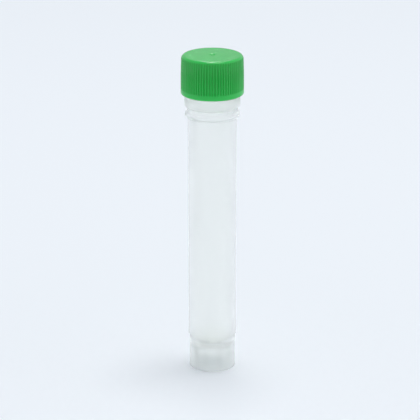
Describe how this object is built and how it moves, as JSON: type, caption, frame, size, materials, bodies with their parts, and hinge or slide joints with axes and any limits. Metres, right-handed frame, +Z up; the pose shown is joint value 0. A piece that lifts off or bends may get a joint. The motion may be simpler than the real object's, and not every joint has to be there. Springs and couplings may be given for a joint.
{
  "type": "cryogenic sample vial with screw cap",
  "caption": "Slim self-standing sample vial in frosted plastic with a ribbed green screw cap, a sealing ring, an external neck thread, two rings below the cap and a stepped foot.",
  "frame": {"origin": "centre of the ring that the vial stands on, on the table", "axes": "+Z up along the axis of the tube and the cap; X and Y are any two directions across it"},
  "size_m": [0.017, 0.017, 0.088],
  "materials": {
    "tube_plastic": "natural polypropylene, translucent and softly frosted",
    "cap_plastic": "green moulded polypropylene, semi-gloss",
    "seal_rubber": "off-white silicone, matt"
  },
  "bodies": {
    "vial": {"vial_tube": "tube_plastic"},
    "seal": {"sealing_ring": "seal_rubber"},
    "closure": {"screw_cap": "cap_plastic"}
  },
  "joints": [
    {"name": "cap_rise", "type": "slide", "parent": "vial", "child": "seal", "axis": [0, 0, 1], "range_m": [0, 0.009]},
    {"name": "cap_turn", "type": "hinge", "parent": "seal", "child": "closure", "pos_m": [0, 0, 0.0774], "axis": [0, 0, 1], "range_deg": [0, 1080]}
  ],
  "couplings": [
    {"joint": "cap_turn", "follows": "cap_rise", "rad_per_m": 2094.4}
  ]
}
